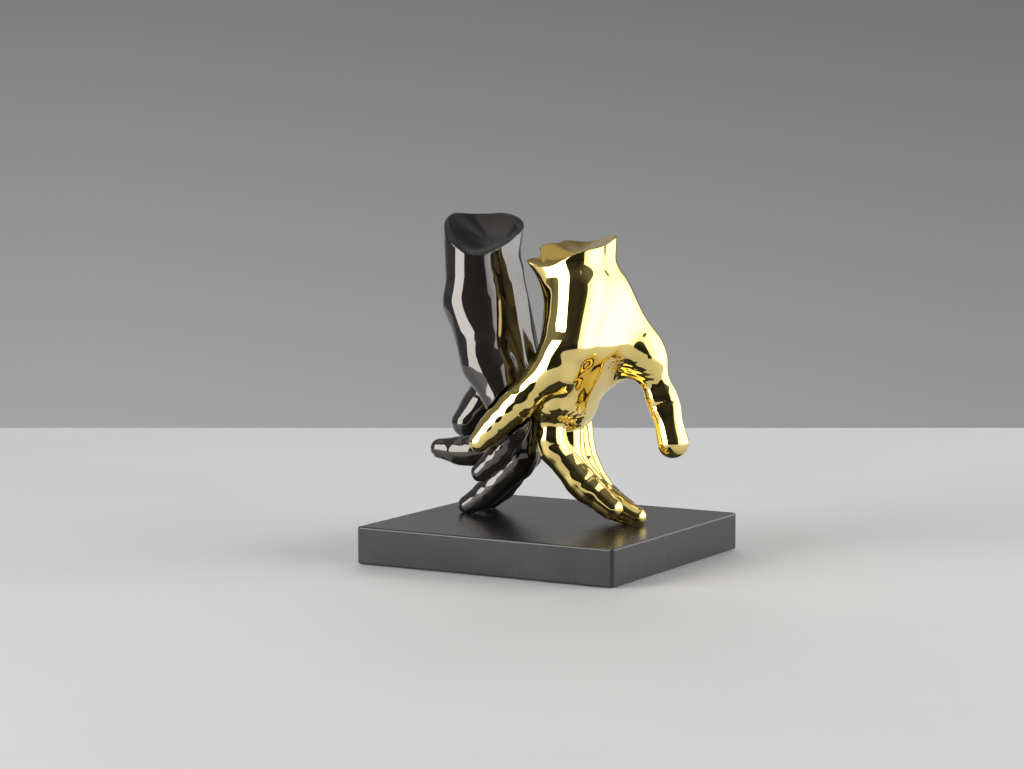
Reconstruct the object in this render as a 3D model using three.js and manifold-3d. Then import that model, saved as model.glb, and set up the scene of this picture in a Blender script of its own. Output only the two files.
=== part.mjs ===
// Two cast hands, one gold and one black, walking apart on a square-edged plinth.
// Millimetres, Z up. The origin is the centre of the underside, the plinth's long side runs along X.
import * as THREE from 'three';
import { mergeVertices } from 'three/addons/utils/BufferGeometryUtils.js';
import Module from 'manifold-3d';

const wasm = await Module();
wasm.setup();

// Plinth block
const PLINTH_LENGTH = 180;
const PLINTH_WIDTH = 170;
const PLINTH_HEIGHT = 23.4;
const PLINTH_EASE = 1.2; // rounding of the outer edges

// Felt sheet let into the underside
const FELT_MARGIN = 12; // from the plinth's sides to the recess
const FELT_THICKNESS = 2;
const FELT_PROUD = 0.5; // how far the felt stands out below the block
const FELT_CORNER = 6;

// Armature rods and what clamps them under the plinth
const ROD_DIAMETER = 4;
const ROD_CLEARANCE = 0.3; // round the rod in block, washer, nut and finger
const ROD_SETBACK = 2; // from the fingertip's centre back to where the rod comes up
const ROD_UPRIGHT = 1; // how far the rod stays upright above the plinth
const ROD_IN_PALM = 34; // how far the rod reaches past the knuckle
const ROD_BELOW_NUT = 1.2;
const ROD_TO_FELT = 1.5;
const WASHER_DIAMETER = 14;
const WASHER_THICKNESS = 1.2;
const NUT_ACROSS_FLATS = 7;
const NUT_HEIGHT = 3.2;
const COUNTERBORE_CLEARANCE = 1.5; // round the washer

// Fits and fineness
const SEAT_GAP = 0.3; // between faces that rest on each other
const TIP_GROUND = 0.6; // taken off the standing fingertips
const HAND_CLEARANCE = 1.5; // the black hand is relieved where it would come nearer to the gold one
const SKIN_CELL = 6; // grain of the cast skins
const FLESH_CURVE = 15; // usual radius of the flesh
const ROD_SIDES = 8;
const CUT_REACH = 60; // half the side of the block cut away above a wrist, and its height

// Blends between the bars of flesh that make up a hand
const PALM_BLEND = 9;
const FINGER_ROOT_BLEND = 8;
const JOINT_BLEND = 3;
const THUMB_BLEND = 6;
const FINGER_CREASE_BLEND = 1.2;
const FOLD = { sharper: 5.5, fromBack: [-9, -1], fromWrist: [84, 94] }; // in front of the fingers' roots

// Proportions that both hands share
const JOINT_EASE = 4; // each bend is spread over this length before and after the joint
const KNUCKLE_FULLNESS = 1; // flesh over the bones of the palm at the fingers' roots
const PAD_LENGTH = 14; // cushions in front of the fingers' roots
const PAD_INSET = [2, 1];
const WEB_START = [0, 3, 8]; // skin between thumb and index, from the index's root
const WEB_SHARE = 0.9; // where that skin ends along the thumb's first bone
const ADDUCTOR_SHARE = 0.8;
const NAIL_BED_SHARE = 0.7;
const THUMB_TIP_FLATNESS = 0.4; // flatness left at the end of the thumb

// Both hands are set out in a frame of their own: x to the thumb's side, y out of the palm, z from the
// knuckles to the wrist, with the wrist at zero. Every digit has a root joint, three bones, four radii
// from root to tip, and for each bone its spread to the thumb's side and its flexion towards the palm.
const GOLD = {
  left: true,
  standsOn: 'middle',
  contact: [58, 6.7], // centre of the standing fingertip, on the plinth
  facing: 6.2, // where the palm looks, in degrees from X
  lean: 4.7, // wrist tipped towards the palm's side
  tilt: 1, // wrist tipped towards the thumb's side
  digits: {
    thumb: {
      root: [16.4, 10, -24.1],
      bones: [50, 31.1, 25.5],
      radii: [13, 10.5, 8.3, 9.6],
      spread: [12.3, 3.8, -0.3],
      flex: [36.5, 28.3, 19.2],
    },
    index: {
      root: [22.1, -4.5, -93.1],
      bones: [40, 26.6, 18.1],
      radii: [9.8, 9, 7.9, 6.4],
      spread: [-7.2, 2, 13.8],
      flex: [15.4, 38.1, 65.1],
    },
    middle: {
      root: [3.2, -1.4, -93.2],
      bones: [39.1, 32.4, 23],
      radii: [10.5, 9.4, 8.3, 5.6],
      spread: [-5.1, 10.6, 17.4],
      flex: [9.2, 48.3, 68],
    },
    ring: {
      root: [-14.2, -5.4, -80.7],
      bones: [40.3, 31.6, 22.7],
      radii: [9.8, 8.9, 9.1, 7.2],
      spread: [-2.4, 12.5, 12.5],
      flex: [5, 43.8, 56.1],
    },
    pinky: {
      root: [-29.4, 1.3, -69.2],
      bones: [34.9, 17.6, 14.3],
      radii: [10, 10.1, 8.5, 6.6],
      spread: [-13.1, -13.1, -13.1],
      flex: [-36.5, -39.9, -36.1],
    },
  },
  carpal: { index: [12.1, -1, -17], middle: [4.2, -2, -17], ring: [-5.1, -1, -17], pinky: [-12.3, 2, -17] },
  carpalRadius: 12.8,
  wrist: { low: [9.6, 4, -28], high: [10.7, 0, 12], twist: [0, 0], shift: 0.3, radii: [16.9, 18.3] },
  corners: [{ from: [0, 4, -28], to: [-5, -21.5, 6], radii: [14, 5.5] }], // bars that square the wrist
  lip: { at: [-23.4, -19.8, -5.4], radii: [14.9, 5.4] },
  thenar: [16.2, 11],
  adductor: { from: [6, 8, -58.3], radii: [13, 9.6] },
  web: 10.8,
  heel: { from: [-16, 8.7, -22], end: [1, 10.5, 14], radii: [13, 10.4] }, // ends beside the little finger
  pad: [0, 3.5, -4.7],
  nailBed: { middle: 3.2 },
  pulp: [-0.96, 0.28, 0], // where the thumb's ball looks
  thumbFlat: 3.6,
  // Hollow of the palm, its rise to the ball of the thumb and its slope down to the fingers
  fill: [
    { from: [0, 8, -32], to: [3, 9, -72], radii: [13, 11] },
    { from: [-14, 9.5, -24], to: [-16, 12.3, -54], radii: [12.5, 12.5] },
    { from: [-2, 13, -24], to: [-2, 20, -54], radii: [12, 12] },
    { from: [12, 17, -26], to: [13, 23.5, -53], radii: [12.5, 12.5] },
    { from: [-13, 8, -64], to: [-13, 2, -94], radii: [11, 9.5] },
    { from: [3, 9, -72], to: [4, 3.2, -95], radii: [11, 9.5] },
    { from: [16, 10, -66], to: [18, 1, -93], radii: [10, 9] },
    { from: [-6, 14, -58], to: [-5, 4.6, -95], radii: [11, 9.6] },
    { from: [10, 17, -58], to: [11, 3.4, -95], radii: [11, 9.6] },
    { from: [-20, 9, -58], to: [-21, 1, -90], radii: [11, 9] },
  ],
  edge: { along: [[-19, -3.5, -97], [-5, 1.5, -98], [11, 1, -97], [24, -3.5, -94]], radius: 8.5 },
  rim: {
    centre: [0.2, -0.9],
    half: [28.1, 19.5],
    mean: 3,
    dish: 4,
    waves: [6.2, 4.3, -2, -1.4, -0.8, 1.8],
  },
};

const BLACK = {
  left: false,
  standsOn: 'middle',
  contact: [-59.5, -0.2],
  facing: 187.3,
  lean: 15.2,
  tilt: -2.5,
  digits: {
    thumb: {
      root: [19.1, 8.9, -26.5],
      bones: [46.8, 30, 18],
      radii: [13, 11.6, 10.8, 9.2],
      spread: [21.7, -27.4, -31],
      flex: [11.5, 38, 44],
    },
    index: {
      root: [24, 2.1, -87.5],
      bones: [43.7, 26.7, 19.1],
      radii: [10.2, 9.3, 7.9, 6.3],
      spread: [4.5, 4.5, 4.5],
      flex: [17.9, 55, 61],
    },
    middle: {
      root: [5.2, -2.8, -87.3],
      bones: [47.8, 29.8, 19.2],
      radii: [10.8, 9.6, 7.8, 5.6],
      spread: [0.8, 0.8, 0.8],
      flex: [19.3, 63.8, 70.7],
    },
    ring: {
      root: [-13.7, -1, -83.9],
      bones: [35.9, 30, 18],
      radii: [10.3, 9.1, 8.9, 6.2],
      spread: [-1.9, -3.5, -3.5],
      flex: [17.7, 92, 109],
    },
    pinky: {
      root: [-28.8, 0.9, -71.2],
      bones: [38, 20, 17],
      radii: [9.3, 8.1, 6.3, 5.9],
      spread: [-6.3, -6.3, -6.3],
      flex: [-8, 46, 62],
    },
  },
  carpal: { index: [11.2, -2.5, -17], middle: [4.2, -2.6, -17], ring: [-6, -1, -17], pinky: [-13, 2, -17] },
  carpalRadius: 14.1,
  wrist: { low: [9.6, 1.3, -4], high: [10.7, -9.1, 30], twist: [1.3, 1], shift: 2.1, radii: [17.5, 21.5] },
  corners: [
    { from: [14, -5.4, 2], to: [21.8, -12.7, 30], radii: [8, 10] },
    { from: [14, 6.6, 2], to: [17.7, 8.6, 30], radii: [8, 10.5] },
  ],
  lip: { at: [0, 0, 20], radii: [15.5, 15] },
  thenar: [14.5, 12.5],
  adductor: { from: [6, 8, -58], radii: [13, 11] },
  web: 6.5,
  heel: { from: [-18, 12, -26], end: [0.5, 8, 7], radii: [13.2, 11] },
  pad: [0, 4.6, 0.2],
  nailBed: { middle: 2, index: 2 },
  pulp: [-0.75, 0.66, 0],
  thumbFlat: 2.2,
  fill: [
    { from: [0, 8, -32], to: [3, 9, -72], radii: [13, 11] },
    { from: [-2, 12, -26], to: [-2, 14, -52], radii: [12, 12] },
    { from: [11, 13, -28], to: [12, 18, -50], radii: [12, 12] },
    { from: [3, 9, -72], to: [4, 5, -94], radii: [11, 9.5] },
    { from: [-28, 7.5, -68], to: [-36, -4.5, -103], radii: [10.2, 10.8] },
    { from: [-12, 0.5, 6], to: [-17, 11.5, -26], radii: [14, 12] },
  ],
  edge: { along: [[-20, 3, -92], [-6, 5, -97], [8, 5, -99], [22, 6, -97]], radius: 8 },
  rim: {
    centre: [1.9, -4.6],
    half: [29.2, 18.3],
    mean: 15.1,
    dish: 7,
    waves: [9, 10.9, -2.4, -1.2, 1.2, -1.1],
  },
};

const FINGERS = ['index', 'middle', 'ring', 'pinky'];

// Heights of the stack from the table up
const PLINTH_TOP = FELT_PROUD + PLINTH_HEIGHT;
const ROD_END = FELT_THICKNESS + ROD_TO_FELT;
const NUT_LOW = ROD_END + ROD_BELOW_NUT;
const WASHER_LOW = NUT_LOW + NUT_HEIGHT + SEAT_GAP;
const COUNTERBORE_TOP = WASHER_LOW + WASHER_THICKNESS + SEAT_GAP;
const FINGER_FLOOR = PLINTH_TOP + SEAT_GAP;

// Makes up for flat facets lying inside the round flesh
const SKIN_FULLNESS = (SKIN_CELL * SKIN_CELL) / (8 * FLESH_CURVE);

const degrees = THREE.MathUtils.degToRad;
const point = (values) => new THREE.Vector3(...values);
const between = (a, b, share) => a.clone().lerp(b, share);
const { smoothstep } = THREE.MathUtils;

// Closed solid of a geometry, for joining and cutting
function solidOf(geometry) {
  const bare = geometry.clone();
  bare.deleteAttribute('normal');
  bare.deleteAttribute('uv');
  const merged = mergeVertices(bare, 1e-4);
  return new wasm.Manifold(new wasm.Mesh({
    numProp: 3,
    vertProperties: new Float32Array(merged.attributes.position.array),
    triVerts: new Uint32Array(merged.index.array),
  }));
}

function geometryOf(solid) {
  const mesh = solid.getMesh();
  const geometry = new THREE.BufferGeometry();
  geometry.setAttribute('position', new THREE.BufferAttribute(new Float32Array(mesh.vertProperties), 3));
  geometry.setIndex(new THREE.BufferAttribute(new Uint32Array(mesh.triVerts), 1));
  geometry.computeVertexNormals();
  return geometry;
}

// Distance to a bar with round ends that thins evenly from one end to the other
function bar(from, to, startRadius, endRadius) {
  const along = to.clone().sub(from);
  const square = Math.max(along.lengthSq(), 1e-9);
  const thinning = endRadius - startRadius;
  return (x, y, z) => {
    const dx = x - from.x;
    const dy = y - from.y;
    const dz = z - from.z;
    const t = Math.min(Math.max((dx * along.x + dy * along.y + dz * along.z) / square, 0), 1);
    return Math.hypot(dx - t * along.x, dy - t * along.y, dz - t * along.z) - startRadius - t * thinning;
  };
}

function blend(a, b, width) {
  const overlap = Math.max(width - Math.abs(a - b), 0) / width;
  return Math.min(a, b) - overlap * overlap * width * 0.25;
}

function blendAll(bars, width) {
  return (x, y, z) => bars.reduce((near, b) => blend(near, b(x, y, z), width), 1e6);
}

// Direction of a bone in the hand's frame
function heading(spread, flex) {
  const s = degrees(spread);
  const f = degrees(flex);
  return new THREE.Vector3(Math.cos(f) * Math.sin(s), Math.sin(f), -Math.cos(f) * Math.cos(s));
}

// Joints of each digit, and the frame that stands the hand on its fingertip
function poseHand(hand) {
  const joints = {};
  for (const [name, digit] of Object.entries(hand.digits)) {
    const chain = [point(digit.root)];
    digit.bones.forEach((length, i) => {
      chain.push(chain[i].clone().addScaledVector(heading(digit.spread[i], digit.flex[i]), length));
    });
    joints[name] = chain;
  }
  const facing = degrees(hand.facing);
  const level = new THREE.Vector3(Math.cos(facing), Math.sin(facing), 0);
  const up = new THREE.Vector3(0, 0, 1).addScaledVector(level, Math.tan(degrees(hand.lean))).normalize();
  const palm = level.clone().addScaledVector(up, -level.dot(up)).normalize();
  const thumb = hand.left ? up.clone().cross(palm) : palm.clone().cross(up);
  const tilt = degrees(hand.tilt);
  const wrist = up.clone().multiplyScalar(Math.cos(tilt)).addScaledVector(thumb, Math.sin(tilt));
  const side = thumb.clone().multiplyScalar(Math.cos(tilt)).addScaledVector(up, -Math.sin(tilt));
  const frame = new THREE.Matrix4().makeBasis(side, palm, wrist);
  const tip = joints[hand.standsOn][3].clone().applyMatrix4(frame);
  const tipRadius = hand.digits[hand.standsOn].radii[3];
  const stand = new THREE.Vector3(...hand.contact, PLINTH_TOP + tipRadius - TIP_GROUND);
  frame.setPosition(stand.sub(tip));
  return { hand, joints, frame };
}

// Point on one side of the wrist, which may be twisted against the palm
function sideways([x, y, z], side, twist) {
  return new THREE.Vector3(side * x, y - side * twist, z);
}

// Bars of the palm: bones and cushions of the fingers, wrist, ball of the thumb, heel and fillings
function palmBars({ hand, joints }) {
  const { wrist, thenar, adductor, heel, lip } = hand;
  const thumb = joints.thumb;
  const bars = [];
  for (const name of FINGERS) {
    const radius = hand.digits[name].radii[0];
    const pad = joints[name][0].clone().add(point(hand.pad));
    const padEnd = pad.clone().add(new THREE.Vector3(0, 0, PAD_LENGTH));
    bars.push(bar(point(hand.carpal[name]), joints[name][0], hand.carpalRadius, radius + KNUCKLE_FULLNESS));
    bars.push(bar(pad, padEnd, radius - PAD_INSET[0], radius - PAD_INSET[1]));
  }
  for (const side of [-1, 1]) {
    const low = sideways(wrist.low, side, wrist.twist[0]);
    const high = sideways(wrist.high, side, wrist.twist[1]).add(new THREE.Vector3(wrist.shift, 0, 0));
    bars.push(bar(low, high, wrist.radii[0], wrist.radii[1]));
  }
  const core = sideways(wrist.low, 0, 0);
  bars.push(bar(core, point(lip.at), ...lip.radii));
  bars.push(bar(thumb[0], thumb[1], ...thenar));
  bars.push(bar(point(adductor.from), between(thumb[0], thumb[1], ADDUCTOR_SHARE), ...adductor.radii));
  const webStart = joints.index[0].clone().add(point(WEB_START));
  bars.push(bar(webStart, between(thumb[0], thumb[1], WEB_SHARE), hand.web, hand.web));
  bars.push(bar(point(heel.from), joints.pinky[0].clone().add(point(heel.end)), ...heel.radii));
  for (const { from, to, radii } of [...hand.corners, ...hand.fill]) {
    bars.push(bar(point(from), point(to), ...radii));
  }
  const edge = hand.edge.along.map(point);
  edge.slice(1).forEach((to, i) => bars.push(bar(edge[i], to, hand.edge.radius, hand.edge.radius)));
  return bars;
}

// Bars of one digit, with eased bends
function digitBars({ hand, joints }, name) {
  const { radii, bones, spread, flex } = hand.digits[name];
  const chain = joints[name];
  const places = [{ at: chain[0], radius: radii[0] }];
  for (const joint of [1, 2]) {
    for (const other of [joint - 1, joint + 1]) {
      const share = JOINT_EASE / bones[Math.min(joint, other)];
      const radius = radii[joint] + share * (radii[other] - radii[joint]);
      places.push({ at: between(chain[joint], chain[other], share), radius });
    }
  }
  places.push({ at: chain[3], radius: radii[3] });
  const lengths = places.slice(1).map((end, i) => [places[i], end]);
  if (name === 'thumb') {
    const across = chain[3].clone().sub(chain[1]).cross(point(hand.pulp)).normalize();
    const flat = (place) => hand.thumbFlat * (place === places.at(-1) ? THUMB_TIP_FLATNESS : 1);
    const beside = (place, side) => place.at.clone().addScaledVector(across, side * flat(place));
    return lengths.flatMap(([start, end]) => [-1, 1].map((side) => {
      return bar(beside(start, side), beside(end, side), start.radius - flat(start), end.radius - flat(end));
    }));
  }
  const bars = lengths.map(([start, end]) => bar(start.at, end.at, start.radius, end.radius));
  if (hand.nailBed[name]) {
    const back = heading(spread[2], flex[2] - 90);
    const bed = between(chain[3], chain[2], NAIL_BED_SHARE).addScaledVector(back, hand.nailBed[name]);
    bars.push(bar(chain[3], bed, radii[3], (radii[3] + radii[2]) / 2));
  }
  return bars;
}

// Flesh of the hand as a distance field in the hand's frame
function flesh(pose) {
  const body = blendAll(palmBars(pose), PALM_BLEND);
  const digits = Object.keys(pose.hand.digits).map((name) => {
    return blendAll(digitBars(pose, name), name === 'thumb' ? THUMB_BLEND : JOINT_BLEND);
  });
  const fan = blendAll(digits, FINGER_CREASE_BLEND);
  return (x, y, z) => {
    const fold = smoothstep(y, ...FOLD.fromBack) * smoothstep(-z, ...FOLD.fromWrist);
    return blend(body(x, y, z), fan(x, y, z), FINGER_ROOT_BLEND - FOLD.sharper * fold);
  };
}

// A field of the part's frame, at a place in the frame of a hand
function seenFrom(pose, field) {
  const p = new THREE.Vector3();
  return (x, y, z) => {
    p.set(x, y, z).applyMatrix4(pose.frame);
    return field(p.x, p.y, p.z);
  };
}

// A hand's field, at a place in the part's frame
function placed(pose, inner) {
  const toHand = pose.frame.clone().invert();
  const p = new THREE.Vector3();
  return (x, y, z) => {
    p.set(x, y, z).applyMatrix4(toHand);
    return inner(p.x, p.y, p.z);
  };
}

// Moves a geometry from the hand's frame to the part's; a left hand's frame turns it inside out
function stand(geometry, { hand, frame }) {
  geometry.applyMatrix4(frame);
  if (hand.left) {
    const turned = geometry.index.array;
    for (let i = 0; i < turned.length; i += 3) [turned[i], turned[i + 1]] = [turned[i + 1], turned[i]];
  }
  return geometry;
}

// Height of the wavy, dished cut through the wrist, in the hand's frame
function cutHeight({ centre, half, mean, dish, waves }, x, y) {
  const u = (x - centre[0]) / half[0];
  const v = (y - centre[1]) / half[1];
  const turn = Math.atan2(v, u);
  const out = Math.min(Math.hypot(u, v), 1.05);
  let edge = 0;
  for (const order of [1, 2, 3]) {
    edge += waves[2 * order - 2] * Math.cos(order * turn) + waves[2 * order - 1] * Math.sin(order * turn);
  }
  return mean + edge * out - dish * Math.max(1 - out * out, 0);
}

// Closed skin where a field is zero. Each sheet of the surface that crosses a cell gets one vertex there,
// and the four cells round each crossed grid edge are joined by a quadrilateral.
function skin(field, box, cell) {
  const size = box.getSize(new THREE.Vector3());
  const count = [size.x, size.y, size.z].map((length) => Math.ceil(length / cell) + 1);
  const step = [1, count[0], count[0] * count[1]];
  const total = step[2] * count[2];
  const low = box.min;
  const place = (id) => {
    const k = Math.floor(id / step[2]);
    const j = Math.floor((id - k * step[2]) / step[1]);
    const i = id - k * step[2] - j * step[1];
    return new THREE.Vector3(low.x + i * cell, low.y + j * cell, low.z + k * cell);
  };
  const value = new Float64Array(total);
  for (let id = 0; id < total; id += 1) {
    const p = place(id);
    value[id] = field(p.x, p.y, p.z);
  }
  const positions = [];
  const quads = new Map();
  const corner = (id, bits) =>
    id + (bits & 1) * step[0] + ((bits >> 1) & 1) * step[1] + (bits >> 2) * step[2];
  const faces = [[0, 1, 3, 2], [4, 5, 7, 6], [0, 1, 5, 4], [2, 3, 7, 6], [0, 2, 6, 4], [1, 3, 7, 5]];
  const edgeKey = (id, a, b) => {
    const axis = Math.log2(a ^ b);
    return corner(id, a & b) * 3 + axis;
  };
  // Crossed edges of one cell, grouped into the loops that they make over its faces
  const loopsOf = (id) => {
    const parent = new Map();
    const find = (key) => (parent.get(key) === key ? key : find(parent.get(key)));
    for (const face of faces) {
      const inside = face.map((bits) => value[corner(id, bits)] < 0);
      for (let i = 0; i < 4; i += 1) {
        const next = (i + 1) % 4;
        if (inside[i] !== inside[next]) {
          const key = edgeKey(id, face[i], face[next]);
          if (!parent.has(key)) parent.set(key, key);
        }
      }
      const crossed = [0, 1, 2, 3].filter((i) => inside[i] !== inside[(i + 1) % 4]);
      const keys = crossed.map((i) => edgeKey(id, face[i], face[(i + 1) % 4]));
      const pairs = [];
      if (keys.length === 2) pairs.push([keys[0], keys[1]]);
      if (keys.length === 4 && inside[1]) pairs.push([keys[0], keys[1]], [keys[2], keys[3]]);
      if (keys.length === 4 && inside[0]) pairs.push([keys[3], keys[0]], [keys[1], keys[2]]);
      for (const [a, b] of pairs) parent.set(find(a), find(b));
    }
    const loops = new Map();
    for (const key of parent.keys()) {
      const top = find(key);
      loops.set(top, [...(loops.get(top) ?? []), key]);
    }
    return loops.values();
  };
  const crossing = (key) => {
    const id = Math.floor(key / 3);
    const other = id + step[key % 3];
    return place(id).lerp(place(other), value[id] / (value[id] - value[other]));
  };
  // Draws a vertex onto the surface, without leaving its neighbourhood
  const settle = (p) => {
    const start = p.clone();
    const h = 0.05;
    for (let pass = 0; pass < 3; pass += 1) {
      const f = field(p.x, p.y, p.z);
      const slope = new THREE.Vector3(
        field(p.x + h, p.y, p.z) - field(p.x - h, p.y, p.z),
        field(p.x, p.y + h, p.z) - field(p.x, p.y - h, p.z),
        field(p.x, p.y, p.z + h) - field(p.x, p.y, p.z - h),
      ).divideScalar(2 * h);
      p.addScaledVector(slope, -f / Math.max(slope.lengthSq(), 0.2));
    }
    return p.sub(start).clampLength(0, cell * 0.3).add(start);
  };
  // The four cells round an edge, in turn about its axis
  const slotOf = (id, key) => {
    const axis = key % 3;
    const base = Math.floor(key / 3);
    const b = step[(axis + 1) % 3];
    const c = step[(axis + 2) % 3];
    return [base - b - c, base - c, base, base - b].indexOf(id);
  };
  for (let k = 0; k < count[2] - 1; k += 1) {
    for (let j = 0; j < count[1] - 1; j += 1) {
      for (let i = 0; i < count[0] - 1; i += 1) {
        const id = i + j * step[1] + k * step[2];
        let within = 0;
        for (let bits = 0; bits < 8; bits += 1) within += value[corner(id, bits)] < 0 ? 1 : 0;
        if (within === 0 || within === 8) continue;
        for (const loop of loopsOf(id)) {
          const p = new THREE.Vector3();
          for (const key of loop) p.add(crossing(key));
          settle(p.divideScalar(loop.length));
          for (const key of loop) {
            if (!quads.has(key)) quads.set(key, []);
            quads.get(key)[slotOf(id, key)] = positions.length;
          }
          positions.push(p);
        }
      }
    }
  }
  const index = [];
  for (const [key, around] of quads) {
    const outward = value[Math.floor(key / 3)] < 0 ? around : [...around].reverse();
    const [a, b, c, d] = outward;
    const acrossAC = positions[a].distanceTo(positions[c]);
    const acrossBD = positions[b].distanceTo(positions[d]);
    if (acrossAC < acrossBD) index.push(a, b, c, a, c, d);
    else index.push(a, b, d, b, c, d);
  }
  const geometry = new THREE.BufferGeometry().setFromPoints(positions);
  geometry.setIndex(index);
  return geometry;
}

// Whole cells round a hand, in its own frame
function spaceOf({ hand, joints }) {
  const box = new THREE.Box3();
  for (const chain of Object.values(joints)) {
    for (const joint of chain) box.expandByPoint(joint);
  }
  for (const side of [-1, 1]) {
    for (const end of [hand.wrist.low, hand.wrist.high]) {
      box.expandByPoint(sideways(end, side, 0));
    }
  }
  box.expandByPoint(point(hand.lip.at));
  box.expandByScalar(hand.wrist.radii[1] + SKIN_CELL);
  box.min.divideScalar(SKIN_CELL).floor().multiplyScalar(SKIN_CELL);
  box.max.divideScalar(SKIN_CELL).ceil().multiplyScalar(SKIN_CELL);
  return box;
}

// Slab above the wrist whose underside is the wavy cut
function wristCutter(pose) {
  const { rim } = pose.hand;
  const geometry = new THREE.BoxGeometry(2 * CUT_REACH, 2 * CUT_REACH, CUT_REACH, 26, 30, 1);
  const place = geometry.attributes.position;
  for (let i = 0; i < place.count; i += 1) {
    const x = place.getX(i) + rim.centre[0];
    const y = place.getY(i) + rim.centre[1];
    place.setXYZ(i, x, y, place.getZ(i) > 0 ? CUT_REACH : cutHeight(rim, x, y));
  }
  return solidOf(stand(geometry, pose));
}

// Everything lower than the ground fingertips
function floorCutter() {
  const depth = PLINTH_LENGTH;
  const slab = new THREE.BoxGeometry(4 * PLINTH_LENGTH, 4 * PLINTH_WIDTH, depth);
  return solidOf(slab.translate(0, 0, FINGER_FLOOR - depth / 2));
}

// Line of a rod: straight up through the plinth, then along the bones of its finger into the palm
function rodLine({ hand, joints, frame }, finger) {
  const chain = joints[finger].map((joint) => joint.clone().applyMatrix4(frame));
  const carpal = point(hand.carpal[finger]).applyMatrix4(frame);
  const inward = carpal.sub(chain[0]).normalize();
  const knee = between(chain[3], chain[2], ROD_SETBACK / chain[3].distanceTo(chain[2]));
  const upright = [ROD_END, PLINTH_TOP / 2, PLINTH_TOP + ROD_UPRIGHT].map(
    (z) => new THREE.Vector3(knee.x, knee.y, z),
  );
  const end = chain[0].clone().addScaledVector(inward, ROD_IN_PALM);
  const line = [...upright, knee, chain[2], chain[1], chain[0], end];
  return new THREE.CatmullRomCurve3(line, false, 'centripetal');
}

function rodGeometry(pose, finger, radius) {
  const section = new THREE.Shape().absarc(0, 0, radius, 0, 2 * Math.PI);
  return new THREE.ExtrudeGeometry(section, {
    steps: 36,
    curveSegments: ROD_SIDES / 2,
    bevelEnabled: false,
    extrudePath: rodLine(pose, finger),
  });
}

// Channel for a rod, with a round blind end in the palm
function rodChannel(pose, finger) {
  const radius = ROD_DIAMETER / 2 + ROD_CLEARANCE;
  const end = rodLine(pose, finger).points.at(-1);
  const ball = new THREE.SphereGeometry(radius + ROD_CLEARANCE, 12, 8).translate(end.x, end.y, end.z);
  return solidOf(rodGeometry(pose, finger, radius)).add(solidOf(ball));
}

function castHand(pose, field, fingers) {
  const full = (x, y, z) => field(x, y, z) - SKIN_FULLNESS;
  let solid = solidOf(stand(skin(full, spaceOf(pose), SKIN_CELL), pose));
  solid = solid.subtract(wristCutter(pose)).subtract(floorCutter());
  for (const finger of fingers) solid = solid.subtract(rodChannel(pose, finger));
  return geometryOf(solid);
}

function roundedOutline(length, width, corner) {
  const x = length / 2;
  const y = width / 2;
  const shape = new THREE.Shape();
  shape.absarc(x - corner, y - corner, corner, 0, Math.PI / 2);
  shape.absarc(corner - x, y - corner, corner, Math.PI / 2, Math.PI);
  shape.absarc(corner - x, corner - y, corner, Math.PI, Math.PI * 1.5);
  shape.absarc(x - corner, corner - y, corner, Math.PI * 1.5, Math.PI * 2);
  return shape;
}

function slab(length, width, corner, height) {
  const outline = roundedOutline(length, width, corner);
  return new THREE.ExtrudeGeometry(outline, { depth: height, bevelEnabled: false, curveSegments: 4 });
}

// Block with rounded edges, bored for the rods and recessed for nuts and felt
function plinthGeometry(feet) {
  const inner = roundedOutline(PLINTH_LENGTH - 2 * PLINTH_EASE, PLINTH_WIDTH - 2 * PLINTH_EASE, PLINTH_EASE);
  const block = new THREE.ExtrudeGeometry(inner, {
    depth: PLINTH_HEIGHT - 2 * PLINTH_EASE,
    curveSegments: 3,
    bevelSegments: 3,
    bevelSize: PLINTH_EASE,
    bevelThickness: PLINTH_EASE,
  });
  let solid = solidOf(block.translate(0, 0, FELT_PROUD + PLINTH_EASE));
  const recess = slab(
    PLINTH_LENGTH - 2 * FELT_MARGIN,
    PLINTH_WIDTH - 2 * FELT_MARGIN,
    FELT_CORNER,
    FELT_THICKNESS + SEAT_GAP + 1,
  );
  solid = solid.subtract(solidOf(recess.translate(0, 0, -1)));
  for (const foot of feet) {
    const bore = ROD_DIAMETER / 2 + ROD_CLEARANCE;
    const sink = WASHER_DIAMETER / 2 + COUNTERBORE_CLEARANCE;
    const hole = new THREE.CylinderGeometry(bore, bore, PLINTH_TOP + 2, 16).rotateX(Math.PI / 2);
    const pocket = new THREE.CylinderGeometry(sink, sink, COUNTERBORE_TOP, 28).rotateX(Math.PI / 2);
    solid = solid.subtract(solidOf(hole.translate(foot.x, foot.y, PLINTH_TOP / 2)));
    solid = solid.subtract(solidOf(pocket.translate(foot.x, foot.y, COUNTERBORE_TOP / 2)));
  }
  return geometryOf(solid);
}

function feltGeometry() {
  const length = PLINTH_LENGTH - 2 * (FELT_MARGIN + SEAT_GAP);
  const width = PLINTH_WIDTH - 2 * (FELT_MARGIN + SEAT_GAP);
  return slab(length, width, FELT_CORNER - SEAT_GAP, FELT_THICKNESS);
}

function ring(outline, height) {
  const bore = new THREE.Path().absarc(0, 0, ROD_DIAMETER / 2 + ROD_CLEARANCE, 0, 2 * Math.PI, true);
  outline.holes.push(bore);
  return new THREE.ExtrudeGeometry(outline, { depth: height, bevelEnabled: false, curveSegments: 10 });
}

function washerGeometry() {
  return ring(new THREE.Shape().absarc(0, 0, WASHER_DIAMETER / 2, 0, 2 * Math.PI), WASHER_THICKNESS);
}

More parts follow.
